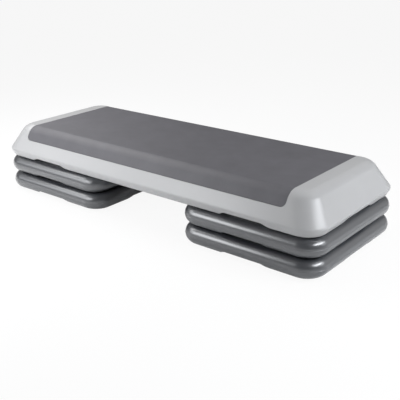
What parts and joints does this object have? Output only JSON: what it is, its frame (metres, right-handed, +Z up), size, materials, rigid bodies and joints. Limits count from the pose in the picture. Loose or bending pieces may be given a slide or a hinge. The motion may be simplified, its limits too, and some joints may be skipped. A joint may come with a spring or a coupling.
{
  "type": "aerobic step platform",
  "caption": "Long low exercise step: a moulded deck with sloping sides and a wrap-over non-slip mat, standing at each end on a stack of square bull-nosed risers that lift apart.",
  "frame": {"origin": "on the floor, under the middle of the deck", "axes": "+X along the deck, +Y from the front long side to the back one, +Z up"},
  "size_m": [1.091, 0.404, 0.1975],
  "materials": {
    "deck_plastic": "satin",
    "mat": "fine grain",
    "riser_plastic": "satin gloss",
    "foot_rubber": "matte"
  },
  "bodies": {
    "left_lower_riser": {"left_lower_riser": "riser_plastic", "left_lower_riser_foot_front_outer": "foot_rubber", "left_lower_riser_foot_front_inner": "foot_rubber", "left_lower_riser_foot_back_outer": "foot_rubber", "left_lower_riser_foot_back_inner": "foot_rubber"},
    "left_upper_riser": {"left_upper_riser": "riser_plastic", "left_upper_riser_foot_front_outer": "foot_rubber", "left_upper_riser_foot_front_inner": "foot_rubber", "left_upper_riser_foot_back_outer": "foot_rubber", "left_upper_riser_foot_back_inner": "foot_rubber"},
    "deck": {"deck_shell": "deck_plastic", "top_mat": "mat", "deck_foot_left_front_outer": "foot_rubber", "deck_foot_left_front_inner": "foot_rubber", "deck_foot_left_back_outer": "foot_rubber", "deck_foot_left_back_inner": "foot_rubber", "deck_foot_right_front_outer": "foot_rubber", "deck_foot_right_front_inner": "foot_rubber", "deck_foot_right_back_outer": "foot_rubber", "deck_foot_right_back_inner": "foot_rubber"},
    "right_upper_riser": {"right_upper_riser": "riser_plastic", "right_upper_riser_foot_front_outer": "foot_rubber", "right_upper_riser_foot_front_inner": "foot_rubber", "right_upper_riser_foot_back_outer": "foot_rubber", "right_upper_riser_foot_back_inner": "foot_rubber"},
    "right_lower_riser": {"right_lower_riser": "riser_plastic", "right_lower_riser_foot_front_outer": "foot_rubber", "right_lower_riser_foot_front_inner": "foot_rubber", "right_lower_riser_foot_back_outer": "foot_rubber", "right_lower_riser_foot_back_inner": "foot_rubber"}
  },
  "joints": [
    {"name": "left_upper_riser_lift", "type": "slide", "parent": "left_lower_riser", "child": "left_upper_riser", "axis": [0, 0, 1], "range_m": [0, 0.08]},
    {"name": "deck_lift", "type": "slide", "parent": "left_upper_riser", "child": "deck", "axis": [0, 0, 1], "range_m": [0, 0.08]},
    {"name": "right_upper_riser_drop", "type": "slide", "parent": "deck", "child": "right_upper_riser", "axis": [0, 0, -1], "range_m": [0, 0.08]},
    {"name": "right_lower_riser_drop", "type": "slide", "parent": "right_upper_riser", "child": "right_lower_riser", "axis": [0, 0, -1], "range_m": [0, 0.08]}
  ],
  "couplings": [
    {"joint": "right_upper_riser_drop", "follows": "deck_lift", "ratio": 1},
    {"joint": "right_lower_riser_drop", "follows": "left_upper_riser_lift", "ratio": 1}
  ]
}
